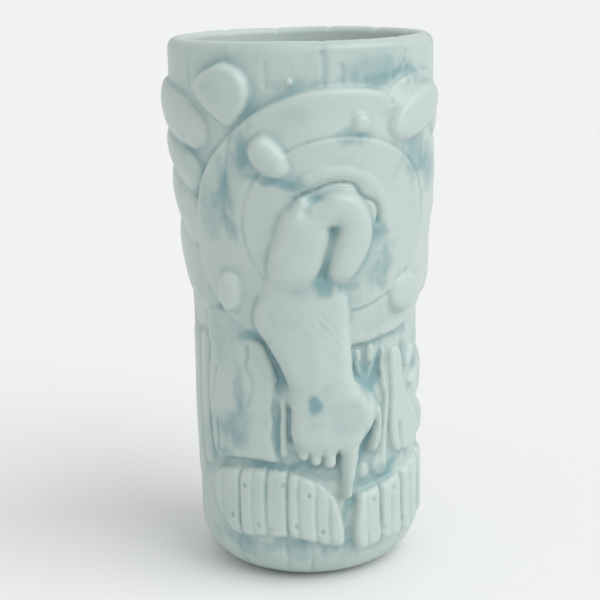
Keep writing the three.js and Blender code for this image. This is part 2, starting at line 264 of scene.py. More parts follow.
def onChart(points):  # degrees and per cent of the height to millimetres on the flat chart
    places = np.array(points, float)
    places[:, 0] = np.radians(places[:, 0]) * chartRadius
    places[:, 1:] = places[:, 1:] * cup["height"] / 100
    return places


def halfTurns(degrees):  # the same direction, between -180 and 180
    return (degrees + 180) % 360 - 180


def aroundMug(x, y, lift):  # from the chart to the mug, in metres
    angle = x / chartRadius
    radius = (wallRadius(y) + lift) * mm
    return np.stack([radius * np.sin(angle), -radius * np.cos(angle), y * mm], axis=1)


def splineThrough(knots, closed):  # the same rounded line through its knots as the CAD part draws
    count = len(knots)
    line = []
    for i in range(count if closed else count - 1):
        p1, p2 = knots[i], knots[(i + 1) % count]
        p0 = knots[i - 1] if closed or i > 0 else 2 * p1 - p2
        p3 = knots[(i + 2) % count] if closed or i + 2 < count else 2 * p2 - p1
        d0, d1, d2 = (max(np.linalg.norm(b - a), 1e-6) ** 0.5 for a, b in ((p0, p1), (p1, p2), (p2, p3)))
        start = ((p1 - p0) / d0 - (p2 - p0) / (d0 + d1) + (p2 - p1) / d1) * d1
        end = ((p2 - p1) / d1 - (p3 - p1) / (d1 + d2) + (p3 - p2) / d2) * d1
        square = 3 * (p2 - p1) - 2 * start - end
        cube = 2 * (p1 - p2) + start + end
        for t in np.linspace(0, 1, drawing["splinePoints"], endpoint=False):
            line.append(p1 + start * t + square * t * t + cube * t ** 3)
    if not closed:
        line.append(knots[-1])
    return np.array(line)


def evenly(line, step, closed):
    if closed:
        line = np.vstack([line, line[:1]])
    lengths = np.concatenate([[0], np.cumsum(np.linalg.norm(np.diff(line[:, :2], axis=0), axis=1))])
    count = max(8, int(round(lengths[-1] / step)))
    marks = np.linspace(0, lengths[-1], count, endpoint=not closed)
    return np.stack([np.interp(marks, lengths, line[:, k]) for k in range(line.shape[1])], axis=1)


def padOutline(outline):
    return evenly(splineThrough(onChart(outline), True), drawing["outlineStep"], True)


def rollOutline(path):  # both sides of a strip, with round ends that stop where the strip stops
    line = evenly(splineThrough(onChart(path), False), drawing["pathStep"], False)
    along = np.gradient(line[:, :2], axis=0)
    along /= np.linalg.norm(along, axis=1)[:, None]
    travel = np.concatenate([[0], np.cumsum(np.linalg.norm(np.diff(line[:, :2], axis=0), axis=1))])
    first, last = line[[0, -1], 2] * drawing["tipStart"]
    keep = (travel >= first) & (travel <= travel[-1] - last)
    line, along = line[keep], along[keep]
    across = np.stack([-along[:, 1], along[:, 0]], axis=1)
    left = line[:, :2] + across * line[:, 2:3]
    right = line[:, :2] - across * line[:, 2:3]
    turns = np.linspace(0, math.pi, drawing["tipPoints"])[1:-1]
    tip = [line[-1, :2] + line[-1, 2] * (across[-1] * math.cos(a) + along[-1] * math.sin(a)) for a in turns]
    tail = [line[0, :2] + line[0, 2] * (-across[0] * math.cos(a) - along[0] * math.sin(a)) for a in turns]
    return evenly(np.vstack([left, tip, right[::-1], tail]), drawing["outlineStep"], True)


def ellipse(degrees, percent, halfDegrees, halfPercent, count=10):
    turns = [2 * math.pi * i / count for i in range(count)]
    return [(degrees + halfDegrees * math.cos(a), percent + halfPercent * math.sin(a)) for a in turns]


def mirrored(points):
    return [(-p[0], *p[1:]) for p in points]


# The relief is worked out as a height over the wall, on a fine raster of the chart.
columns = int(round(chartTurn / drawing["cell"]))
rows = int(round(cup["height"] / drawing["cell"])) + 1
chartX = (np.arange(columns) / columns - 0.5) * chartTurn
chartY = np.linspace(0, cup["height"], rows)
gridX, gridY = np.meshgrid(chartX, chartY)
cellX, cellY = chartTurn / columns, cup["height"] / (rows - 1)


def spread(field, size, reach, mode, stretch=1.0):  # a soft blur that runs on round the mug
    tall = np.pad(field, ((reach, reach), (0, 0)), mode=mode)
    waveY = np.fft.fftfreq(tall.shape[0], cellY)[:, None] * stretch
    waveX = np.fft.rfftfreq(tall.shape[1], cellX)[None, :]
    fading = np.exp(-2 * (math.pi * size) ** 2 * (waveX ** 2 + waveY ** 2))
    return np.fft.irfft2(np.fft.rfft2(tall) * fading, s=tall.shape)[reach:-reach]


def blurred(field, size):
    return spread(field, size, int(4 * size / cellY) + 2, "edge")


def ripple(seed, size, stretch=1.0):  # smooth unevenness, about 1 high
    noise = np.random.default_rng(seed).standard_normal((rows, columns))
    smooth = spread(noise, size, drawing["rippleRows"], "wrap", stretch)
    return smooth / smooth.std()


def sampled(field, x, y):
    u = (np.asarray(x) / chartTurn + 0.5) * columns
    v = np.clip(np.asarray(y) / cellY, 0, rows - 1.001)
    u0, v0 = np.floor(u).astype(int), np.floor(v).astype(int)
    fu, fv = u - u0, v - v0
    left, right = u0 % columns, (u0 + 1) % columns
    low = field[v0, left] * (1 - fu) + field[v0, right] * fu
    high = field[v0 + 1, left] * (1 - fu) + field[v0 + 1, right] * fu
    return low * (1 - fv) + high * fv


def window(low, high):  # the cells of the chart between two corners
    colA = max(0, int((low[0] / chartTurn + 0.5) * columns))
    colB = min(columns, int((high[0] / chartTurn + 0.5) * columns) + 1)
    rowA, rowB = max(0, int(low[1] / cellY)), min(rows, int(high[1] / cellY) + 1)
    return slice(rowA, rowB), slice(colA, colB)


def inwardDistance(ring):  # how far inside an outline each cell of the chart lies
    margin = drawing["outside"]
    part = window(ring.min(axis=0) - margin, ring.max(axis=0) + margin)
    x, y = gridX[part], gridY[part]
    nearest = np.full(x.shape, 1e9)
    inside = np.zeros(x.shape, bool)
    for a, b in zip(ring, np.roll(ring, -1, axis=0)):
        d = b - a
        t = np.clip(((x - a[0]) * d[0] + (y - a[1]) * d[1]) / (d @ d), 0, 1)
        nearest = np.minimum(nearest, (x - a[0] - t * d[0]) ** 2 + (y - a[1] - t * d[1]) ** 2)
        if a[1] != b[1]:
            crosses = (y >= min(a[1], b[1])) & (y < max(a[1], b[1]))
            inside ^= crosses & (x < a[0] + (y - a[1]) * d[0] / d[1])
    depth = np.full(gridX.shape, -margin)
    depth[part] = np.maximum(np.where(inside, np.sqrt(nearest), -np.sqrt(nearest)), -margin)
    return depth


def cut(path, halfWidth):  # a drawn line as a soft groove, 1 along its middle
    nearest = np.full(gridX.shape, np.inf)
    for place in evenly(splineThrough(onChart(path), False), drawing["lineStep"], False)[:, :2]:
        part = window(place - drawing["lineReach"], place + drawing["lineReach"])
        gap = np.hypot(gridX[part] - place[0], gridY[part] - place[1])
        nearest[part] = np.minimum(nearest[part], gap)
    return np.exp(-(nearest / halfWidth) ** 2)


def dab(degrees, percent, halfX, halfY, lean=0.0, drift=(0, 0)):  # a soft spot, 1 at its middle
    x, y = onChart([(degrees, percent)])[0]
    turn = math.radians(lean)
    dx, dy = gridX - x + drift[0], gridY - y + drift[1]
    u = (dx * math.cos(turn) + dy * math.sin(turn)) / halfX
    v = (-dx * math.sin(turn) + dy * math.cos(turn)) / halfY
    return np.exp(-(u * u + v * v))


# A pad fills an outline. Its edge rounds over within "edge", and one that leans is thicker at its -X end.
def pad(outline, thick, seat=bed, crown=0.0, edge=None, lean=0.0):
    ring = padOutline(outline)
    return {"ring": ring, "thick": thick, "seat": seat, "crown": crown, "edge": edge or thick, "lean": lean}


# A roll is a strip along a path of degrees, per cent of the height, and half its width in per cent.
def roll(path, thick, seat=bed, edge=None):
    widest = max(p[2] for p in path) * cup["height"] / 100
    ring = rollOutline(path)
    return {"ring": ring, "thick": thick, "seat": seat, "crown": 0.0, "edge": edge or widest, "lean": 0.0}


# Every sprig, topmost first.
sprigs = {}
sprigs["right_lobe"] = pad(
    [(-11.3, 72.9), (-7.8, 74.8), (-0.8, 75.5), (5.3, 74.6), (9.7, 72.4), (12.6, 69.3), (12.9, 65.5),
     (9.9, 62.1), (5.9, 59.5), (0.3, 57.8), (-6, 57.6), (-9.2, 59.4), (-8.2, 62.7), (-6, 66), (-5, 68.2),
     (-7, 69.4), (-9.8, 69.6), (-11.6, 70.8)],
    6.4, crown=0.26, edge=4,
)
sprigs["left_lobe"] = pad(
    [(-15.1, 74.2), (-19, 74), (-22.3, 72.6), (-25.9, 71.2), (-29.3, 67.3), (-32.1, 63.3), (-33.1, 60.1),
     (-31, 57.8), (-24.1, 56.5), (-17, 56.7), (-11.5, 57.9), (-8, 60.2), (-5.8, 63.2), (-4.2, 66.3),
     (-4.2, 68.6), (-7, 71), (-10, 72.6), (-12.4, 72.8), (-13.8, 72.2), (-13.6, 73.6)],
    6.2, crown=0.28, edge=4.4,
)
sprigs["thumb"] = roll(
    [(12.6, 37.1, 1.3), (17, 34.3, 1.4), (18.2, 31, 1.3), (17.2, 28.1, 1.2), (14.6, 25.7, 0.9)], 3.8)
sprigs["hand_back"] = pad(
    [(-22, 37.3), (-14.8, 37.9), (-5.1, 38), (4.9, 38.2), (12, 37.6), (15.6, 36), (17, 33.6), (16.4, 31.2),
     (13.4, 29.4), (10, 27.8), (7, 26), (2.9, 25.6), (-2.2, 26.2), (-7.1, 25.8), (-12.9, 26.2), (-18.7, 26.7),
     (-22.5, 28.1), (-24.4, 30), (-24.5, 32.8), (-23.8, 35.4)],
    4.6, crown=0.16, edge=3.4,
)
sprigs["index_finger"] = roll(
    [(4.8, 29.6, 2.6), (4.2, 26.5, 2.15), (3.3, 23.2, 1.6), (2.8, 20, 1.2), (2.4, 17, 0.9)], 4.6)
sprigs["middle_finger"] = roll([(-5.9, 29, 1.5), (-5.8, 26.1, 1.5), (-5.6, 23.4, 1.35)], 4.0)
sprigs["ring_finger"] = roll([(-12.5, 29, 1.35), (-12.4, 26.4, 1.35), (-12.2, 24.0, 1.2)], 3.8)
sprigs["little_finger"] = roll([(-18.4, 29.6, 1.25), (-18.2, 27.2, 1.25), (-17.8, 24.8, 1.1)], 3.5)
sprigs["forearm"] = pad(
    [(-36, 57), (-31, 60), (-20, 60.4), (-10, 60), (-2, 59.4), (3.4, 56.6), (4.6, 50), (5.8, 44.8),
     (6.5, 41), (8.4, 38.2), (2.3, 37.2), (-7.6, 36.8), (-18, 36.8), (-23.6, 38), (-26.2, 40.4),
     (-29.8, 43.5), (-34.6, 46.8), (-39.4, 49.6), (-40.4, 53)],
    5.2, crown=0.2, edge=4.6,
)
sprigs["left_eye"] = pad(
    [(-30.9, 84.6), (-26.2, 83.4), (-22, 81), (-20.8, 78.2), (-25, 76.8), (-32.2, 78), (-37, 80.4),
     (-36.6, 83.2)],
    2.6, seat=onHead, crown=0.45,
)
sprigs["right_eye"] = pad(ellipse(7, 86, 3.7, 1.75), 1.8, seat=onHead, crown=0.05, edge=1.1)
sprigs["left_ear"] = pad(
    [(-48, 96.6), (-41, 95.4), (-37.2, 93), (-37, 90), (-41, 87.2), (-46.5, 85.5), (-52, 86.8), (-59, 89.2),
     (-63.6, 92), (-61.4, 94.2), (-55, 95.6)],
    2.9, crown=0.1, edge=2.2,
)
sprigs["right_ear"] = pad(
    [(18.6, 84.8), (21, 82.6), (29, 82), (40.3, 83), (52, 85.2), (60.5, 88), (56.5, 91), (44.1, 91.9),
     (32, 90.9), (23.6, 88.4)],
    3.1, crown=0.2, edge=2.4, lean=0.45,
)
sprigs["right_ear_back"] = pad(
    [(21.5, 89.8), (23.6, 91.9), (30, 93.4), (39.8, 94.2), (51, 93.4), (57, 91.4), (53, 88.6), (37, 86.6),
     (28, 86.4)],
    1.2, edge=1.6, lean=0.3,
)
sprigs["left_knob"] = pad(ellipse(-50.5, 56.4, 6.5, 3.8), 2.0, seat=onHead, crown=0.3)
sprigs["right_knob"] = pad(ellipse(33, 55, 10.5, 3.7), 2.0, seat=onHead, crown=0.3)
sprigs["brow_peg"] = pad(ellipse(-20.9, 93.3, 1.8, 0.75), 0.9, crown=0.1)
sprigs["mouth_lip"] = roll(
    [(-18.6, 74.8, 1.2), (-12.9, 77.1, 1.1), (-5.8, 77.9, 1.1), (1.4, 77.6, 1.1), (9.2, 76.1, 1.1),
     (15.2, 73.3, 1.1), (19.1, 70, 1.1), (20, 66.5, 1.2)],
    0.3, seat=onPlate,
)
sprigs["face_plate"] = pad(ellipse(0, 68.5, 41.5, 15.6, 16), plateStep, seat=onHead, edge=0.8)
headHalf = [(0, 92.3), (14, 91.8), (27, 89.9), (40, 87), (50, 83.3), (61, 78.2), (69, 71), (71.5, 64),
            (66.5, 57), (55, 51.5), (40, 48.3), (20, 46.5)]
sprigs["head_disc"] = pad([*headHalf, (0, 46), *mirrored(headHalf[1:])[::-1]], headStep, edge=2.2)

locks = [
    [(-126, 89.6, 2.2), (-108, 89.2, 3.6), (-90, 87.6, 4.4), (-72, 85.6, 4.2), (-61, 83.4, 3)],
    [(-126, 81.6, 2.2), (-106, 81, 3), (-88, 79.4, 3.4), (-76, 77.6, 3.7), (-66, 75, 3)],
    [(-126, 73.4, 2.4), (-106, 73, 4), (-87, 71, 4.8), (-76, 68.6, 4.6), (-69, 65.6, 3.4)],
    [(-124, 63, 2.6), (-104, 62.2, 4.8), (-84, 59.4, 6), (-72, 56.2, 4.8), (-64, 53, 3)],
]
lockThickness = {"left": (2.3, 1.8, 1.7, 1.5), "right": (1.1, 1.4, 2.6, 2.8)}
for i, path in enumerate(locks):
    sprigs[f"left_lock_{i + 1}"] = roll(path, lockThickness["left"][i])
    sprigs[f"right_lock_{i + 1}"] = roll(mirrored(path), lockThickness["right"][i])

sprigs["left_plaque"] = pad(
    [(-67, 21), (-47.4, 22.9), (-36, 23.5), (-19, 22.4), (-9.8, 20.6), (-3, 17.6), (0.2, 13.4), (0.4, 8.4),
     (-8.8, 8.6), (-21, 9.9), (-37, 10.1), (-55, 9.7), (-64, 12.4), (-68.5, 16)],
    2.3, edge=1.3,
)
sprigs["right_plaque"] = pad(
    [(8, 17.9), (14.8, 18.6), (26, 19.3), (37, 20.1), (48, 21.4), (58, 22.2), (66, 21.8), (70, 17), (66, 12),
     (56.5, 8.9), (42.9, 7.4), (21, 7.4), (8, 7), (5.6, 11), (6.8, 15.5)],
    2.0, edge=1.3, lean=0.35,
)
sprigs["left_bark_slab"] = pad(
    [(-46.3, 48), (-38, 47.1), (-33.4, 44), (-29.9, 40.3), (-31.9, 37.5), (-33.2, 34.6), (-32.3, 32.1),
     (-33.9, 29.5), (-32.4, 26.6), (-31.5, 24.6), (-42.6, 24.6), (-56.1, 24.2), (-66.5, 23.2), (-70.1, 25.3),
     (-71.9, 29.1), (-72.6, 33.3), (-72.5, 37.7), (-70.6, 42.2), (-67.5, 46.6), (-57, 48.6)],
    1.4, edge=1.4,
)
sprigs["left_bark_strip_1"] = roll(
    [(-28.4, 37.6, 0.7), (-27.3, 33.9, 0.85), (-27.9, 29.7, 0.85), (-27.9, 25.4, 0.8)], 1.3, edge=1.1)
sprigs["left_bark_strip_2"] = roll(
    [(-77.4, 47.4, 2), (-79.4, 38, 2), (-78.2, 29, 2.1), (-77.6, 21, 1.8)], 0.7, edge=2.6)
sprigs["left_bark_strip_3"] = roll(
    [(-90, 47.4, 2.6), (-91.5, 38, 2.7), (-90, 28, 2.9), (-89, 17, 2.4)], 0.6, edge=3.2)
sprigs["right_bark_drip_1"] = roll([(9.4, 45.6, 0.75), (10, 42.4, 0.6)], 1.2, edge=1.0)
sprigs["right_bark_drip_2"] = roll([(16.7, 46, 1), (15.8, 42.2, 0.8)], 1.2, edge=1.1)
sprigs["right_bark_drip_3"] = roll(
    [(24.9, 45, 0.6), (23, 42, 0.6), (23.9, 38.8, 0.7), (26, 35.6, 0.7), (25, 31.9, 0.8), (24, 27.7, 0.85),
     (23.4, 24.5, 1), (22, 22, 1)],
    1.5, edge=1.1,
)
sprigs["right_bark_drip_4"] = pad(
    [(29.2, 44.2), (34.6, 44.3), (38, 41), (39.6, 37.4), (43, 34.5), (49.3, 31.6), (54.4, 27.8), (51.5, 24.8),
     (45, 23.4), (38.8, 23.6), (32.9, 23.8), (29.5, 26.1), (28.5, 30.5), (29.5, 35.8), (28.4, 40.1)],
    1.5, edge=1.2,
)
sprigs["right_bark_drip_5"] = roll([(50, 43.4, 1), (45.8, 41.3, 1.1), (41.6, 39.5, 0.9)], 1.4, edge=1.2)
sprigs["right_bark_drip_6"] = roll([(61, 39.3, 1.1), (53, 37.1, 1.2), (46, 35.7, 0.95)], 1.5, edge=1.3)
sprigs["right_bark_drip_7"] = roll(
    [(68, 40.4, 1.2), (73, 37, 2), (76, 34.2, 2), (73, 31.4, 1.3)], 1.5, edge=3.2)
sprigs["right_bark_drip_8"] = roll(
    [(71, 29.6, 1.1), (76, 27.4, 1.9), (77.5, 25, 2), (75, 23, 1.3)], 2.1, edge=3.2)
sprigs["right_bark_drip_9"] = roll(
    [(86, 47, 2.2), (88.5, 38, 2.3), (85.5, 28, 2.5), (87, 18, 2.2)], 0.9, edge=3.0)

# Smears of slip that close the seams between neighbours: they shape the relief but are not pieces.
slips = [
    pad(ellipse(-16.8, 72.7, 3.9, 2.1), 6.0, crown=0.05, edge=2.8),
    pad([(-15.6, 71.6), (-14.6, 73), (-11, 73.8), (-6, 73.8), (-1, 72.4), (1, 70), (-1, 67.8), (-5, 68),
         (-8, 66.4), (-12, 65.6), (-15.4, 68)], 6.6, crown=0.14, edge=3.4),
    pad([(-23.6, 39.4), (-14, 41.2), (-4, 41.2), (7, 40), (12.4, 37.2), (11, 34.4), (0, 34.6), (-12, 34.6),
         (-23.6, 34.6)], 5.1, crown=0.08, edge=3.4),
    pad([(-34, 60), (-26, 61), (-14, 60.6), (-4, 60), (2, 58), (2, 55.6), (-14, 55.4), (-32, 55.6)],
        5.0, edge=4),
    pad([(-71, 50.6), (-62, 52.6), (-52, 51.4), (-44, 49.4), (-42, 47), (-57, 46), (-69, 44.6)],
        1.3, edge=1.2),
    roll([(7.6, 45.6, 0.5), (9.6, 41.8, 0.5), (13, 39, 0.6), (16, 40.4, 0.55), (19.6, 43.8, 0.5),
          (21, 46, 0.5)], 0.8),
    roll([(13, 39.4, 0.5), (17, 36.6, 0.5), (20.4, 32, 0.55), (21.2, 28, 0.5), (19.6, 24.6, 0.5)], 0.5),
    pad([(18, 24.2), (24, 25.6), (27, 22.6), (25, 20.6), (19.4, 20.6), (16.6, 22.4)], 1.0, edge=1.1),
    pad([(9.6, 22.4), (13, 23.4), (15, 21.8), (13.6, 20.4), (10.4, 20.4)], 0.7, edge=0.9),
    roll([(-36, 27.6, 0.8), (-36.4, 25.6, 0.8)], 1.5),
    roll([(55, 47, 0.8), (56.6, 44, 0.9), (54, 41.6, 0.7)], 0.9),
    roll([(41.6, 46.2, 0.6), (40.6, 43, 0.7), (42.4, 38, 0.6)], 0.6),
]

for sprig in sprigs.values():
    sprig["depth"] = inwardDistance(sprig["ring"])
print("stage: outlines of", len(sprigs), "sprigs")

# Lines drawn into the wet clay: path, half width and depth in millimetres.
carving = [
    ([(-7.5, 99), (-6.4, 95.6), (-6.8, 93)], 0.8, 0.55),
    ([(0.6, 96), (1.2, 94.6), (0.8, 93)], 0.7, 0.5),
    ([(-30, 96.4), (-30.5, 94.6), (-29.9, 92.4)], 0.6, 0.45),
    ([(-47.6, 99.4), (-47.4, 98), (-47, 96.8)], 0.5, 0.3),
    ([(-69, 97), (-70, 94.4), (-69.5, 92)], 0.5, 0.4),
    ([(32.5, 97.6), (32, 96.4), (33, 94.8)], 0.7, 0.45),
    ([(70, 99.4), (69, 95), (70, 92)], 0.6, 0.5),
    ([(-56, 7.6), (-55.4, 5), (-56, 2)], 0.9, 0.6),
    ([(-28, 8), (-27.5, 5.4), (-28.6, 3)], 1.0, 0.7),
    ([(-15, 7.6), (-14.6, 5), (-15, 2.4)], 0.7, 0.5),
    ([(9, 5.8), (9.6, 4), (9, 2)], 0.6, 0.3),
    ([(38, 6.4), (38.4, 4.8), (38, 2.4)], 0.6, 0.4),
    ([(-45.1, 46), (-45, 44), (-46.4, 42.4), (-43.6, 40.5), (-43.3, 38.2), (-45.5, 35.1)], 0.8, 0.5),
    ([(-66.1, 31), (-65.4, 27), (-66.6, 24)], 0.5, 0.6),
    ([(-65.5, 41), (-67.2, 38.4), (-68.6, 35.4)], 0.6, 0.6),
    ([(35, 29.4), (35.9, 26.6), (37, 23.7)], 0.7, 0.9),
    ([(32, 96), (24, 92.4), (20.6, 90.6), (22, 89)], 0.45, 0.5),
    ([(-45.8, 84.3), (-47.7, 79.9), (-49.6, 74.9), (-50.4, 69.3), (-50, 64)], 0.7, 0.35),
    ([(-19, 73.7), (-15.9, 74.4), (-10.6, 75.3), (-5.7, 76.1), (-0.8, 76.3), (4, 75.7), (6.4, 74.2),
      (9, 73.2), (13, 72.4), (15, 70.6), (14.6, 68.6)], 0.55, 1.1),
    ([(-17, 74.4), (-12, 75.9), (-6, 76.8), (0, 77), (7, 76)], 0.35, 0.4),
    ([(15.1, 31.4), (12.6, 29.5), (10, 28), (7.6, 26.2)], 0.55, 1.6),
    ([(-15.3, 27), (-15.3, 25.4), (-15.2, 24.6)], 0.5, 0.9),
    ([(-9.2, 27.4), (-9.2, 25.6), (-9, 24.4)], 0.5, 0.9),
    ([(-2, 27), (-2, 25), (-1.6, 23.4)], 0.55, 1.1),
    ([(-11.5, 52.2), (-5.8, 48.9), (-2.2, 46.8)], 0.35, 0.25),
    ([(-9.6, 53.1), (-5.2, 50.6), (-0.6, 47.9)], 0.35, 0.25),
    ([(-14, 51.4), (-8.6, 48.6)], 0.35, 0.2),
]
logSeams = (96, 122, 149, 176, 203, 231, 262)  # where the logs of the wall meet, in degrees

# The plaques carry no words and are scored with upright staves: where a score runs and how deep.
staves = {
    "left_plaque": [(-61, 0.4), (-50.5, 0.9), (-43.6, 0.35), (-36.4, 0.85), (-26, 0.95), (-20.6, 0.4),
                    (-12.4, 0.75), (-6, 0.45)],
    "right_plaque": [(12.6, 0.45), (21, 0.9), (27.4, 0.4), (36.4, 0.85), (44, 0.45), (54, 0.9), (61.6, 0.5)],
}
pits = [(-55.4, 13.4), (-47.8, 19.6), (-41.2, 12.4), (-34.8, 11.8), (-28.4, 20.4), (-22.4, 12.6),
        (-16.2, 18.6), (-10, 11.4), (15.8, 16.4), (22.4, 10.2), (29.4, 17.4), (36, 10.4), (43.4, 18),
        (50.6, 12), (57.6, 16.6)]

# Where neighbours are worked together with a wet finger: place, half width and half height in millimetres.
kneaded = [
    (-6.5, 71.2, 5.5, 3.4),
    (-7, 37.7, 17, 3.0),
    (14, 36.4, 3.6, 3.2),
    (-10, 27.6, 10, 2.0),
    (-15, 57.6, 15, 3.0),
    (-57, 48.6, 10, 2.6),
    (24, 90.5, 3, 3),
    (2.4, 16.3, 2.0, 2.0),
    (73, 36, 6, 9),
    (76, 26, 6, 7),
]

# Sprigs that hide the seam round the face plate.
overPlate = ["right_lobe", "left_lobe", "forearm", "left_eye", "right_eye", "left_knob", "right_knob"]

# How the clay is worked. Lengths are in millimetres. A seam's pair is its half width and its depth.
clay = {
    "waves": 0.10,
    "fineWaves": 0.03,
    "grain": 0.14,
    "softness": 0.42,
    "steepness": (0.35, 0.9),
    "kneading": 1.5,
    "followsWall": 0.6,
    "headRise": 1.15,
    "plateRise": 0.35,
    "staveSeed": 4,
    "staveLevels": (-0.35, 0.25),
    "scoreWidth": 0.6,
    "logSeam": (0.9, 0.7),
    "logSway": 2.2,
    "plateSeam": (0.5, 0.38),
    "pit": (0.55, 0.75),
    "pitDepth": 0.8,
    "lobeDip": (-11.4, 73.6, 1.2, 2.0, -14),
    "lobeDipDepth": 0.6,
}


def unevenWall():  # slow waves all over, and bark grain between the head and the plaques
    share = gridY / cup["height"]
    barkBand = smoothStep(share, 0.2, 0.26) * (1 - smoothStep(share, 0.47, 0.5))
    grain = clay["grain"] * barkBand * ripple(8, 1.3, 5.0)
    return clay["waves"] * ripple(3, 7.0, 2.5) + clay["fineWaves"] * ripple(5, 1.8, 1.6) + grain


def laySprigs(wall):
    height = wall
    rng = np.random.default_rng(clay["staveSeed"])
    for name in reversed([*sprigs]):
        depth = sprigs[name]["depth"]
        height = raised(height, sprigs[name], depth, clay["followsWall"] * wall)
        extra = 0
        if name == "head_disc":  # the head is a shallow dome that meets the face plate almost flush
            rise = smoothStep(sprigs["face_plate"]["depth"], -9, 0.5) * clay["headRise"]
            extra = rise * np.clip(depth / 4, 0, 1)
        if name == "face_plate":
            extra = clay["plateRise"] * smoothStep(depth, 4, 16)
        if name in staves:
            scores = onChart([(turn, 0) for turn, _ in staves[name]])[:, 0]
            levels = rng.uniform(*clay["staveLevels"], len(scores) + 1)
            extra = levels[np.searchsorted(scores, gridX)] * np.clip(depth, 0, 1)
        height = np.where(depth > 0, height + extra, height)
    for slip in slips:
        height = raised(height, slip, inwardDistance(slip["ring"]), clay["followsWall"] * wall)
    return height


def kneadTogether(height):
    kneading = np.zeros(gridX.shape)
    for place in kneaded:
        kneading = np.maximum(kneading, smoothStep(dab(*place), 0.05, 0.55))
    height = height * (1 - kneading) + blurred(height, clay["kneading"]) * kneading
    return blurred(height, clay["softness"])


def carvedLines():
    depths = np.zeros(gridX.shape)
    for path, halfWidth, depth in carving:
        depths += depth * cut(path, halfWidth)
    bareWall = 1 - smoothStep(under([name for name in sprigs if "lock" in name]), -0.4, 0.5)
    halfWidth, depth = clay["logSeam"]
    for turn in logSeams:
        sway = clay["logSway"] * math.sin(turn)
        line = [(turn, 99.6), (turn + sway, 75), (turn - sway, 50), (turn + sway, 26), (turn, 3)]
        line = [(halfTurns(degrees), percent) for degrees, percent in line]
        depths += depth * cut(line, halfWidth) * bareWall
    halfWidth, depth = clay["plateSeam"]
    onTop = smoothStep(-np.maximum(under(overPlate), -3), -0.6, 0.4)
    depths += depth * np.exp(-((sprigs["face_plate"]["depth"] + 0.1) / halfWidth) ** 2) * onTop
    return depths


def plaqueScores():  # a score widens towards both ends, where the stave's corners round over
    depths = np.zeros(gridX.shape)
    for name, scores in staves.items():
        inPlaque = smoothStep(sprigs[name]["depth"], -0.5, 0.8)
        nearEdge = 1 - smoothStep(sprigs[name]["depth"], 0.6, 3.6)
        for turn, depth in scores:
            line = [(turn + 0.5 * math.sin(7 * turn), 25), (turn - 0.7, 15), (turn + 0.4, 6)]
            corners = 0.8 * cut(line, 0.5 + 1.3 * nearEdge) * nearEdge
            depths += depth * (cut(line, clay["scoreWidth"]) + corners) * inPlaque
    for place in pits:
        depths += clay["pitDepth"] * dab(*place, *clay["pit"])
    return depths


def raised(height, form, depth, unevenness):  # a rounded form laid over what is there
    deepest = depth.max()
    turned = 1 - np.clip(depth / min(form["edge"], deepest), 0, 1)
    crown = form["crown"] * (1 - (1 - np.clip(depth / deepest, 0, 1)) ** 2)
    lowX, highX = form["ring"][:, 0].min(), form["ring"][:, 0].max()
    tilt = 1 + form["lean"] * np.clip(1 - 2 * (gridX - lowX) / (highX - lowX), -1, 1)
    top = form["seat"] + form["thick"] * tilt * (np.sqrt(1 - turned * turned) + crown) + unevenness
    return np.where(depth > 0, np.maximum(height, top), height)


def under(names):  # how far a cell lies inside the nearest of some sprigs
    cover = np.full(gridX.shape, -drawing["outside"])
    for name in names:
        cover = np.maximum(cover, sprigs[name]["depth"])
    return cover


def smoothStep(value, low, high):
    share = np.clip((value - low) / (high - low), 0, 1)
    return share * share * (3 - 2 * share)


flatWall = unevenWall()
relief = kneadTogether(laySprigs(flatWall))
relief -= carvedLines() + plaqueScores() + clay["lobeDipDepth"] * dab(*clay["lobeDip"])
slope = np.hypot(np.gradient(relief, cellY, axis=0), np.gradient(relief, cellX, axis=1))
steep = smoothStep(blurred(slope, 0.4), *clay["steepness"])

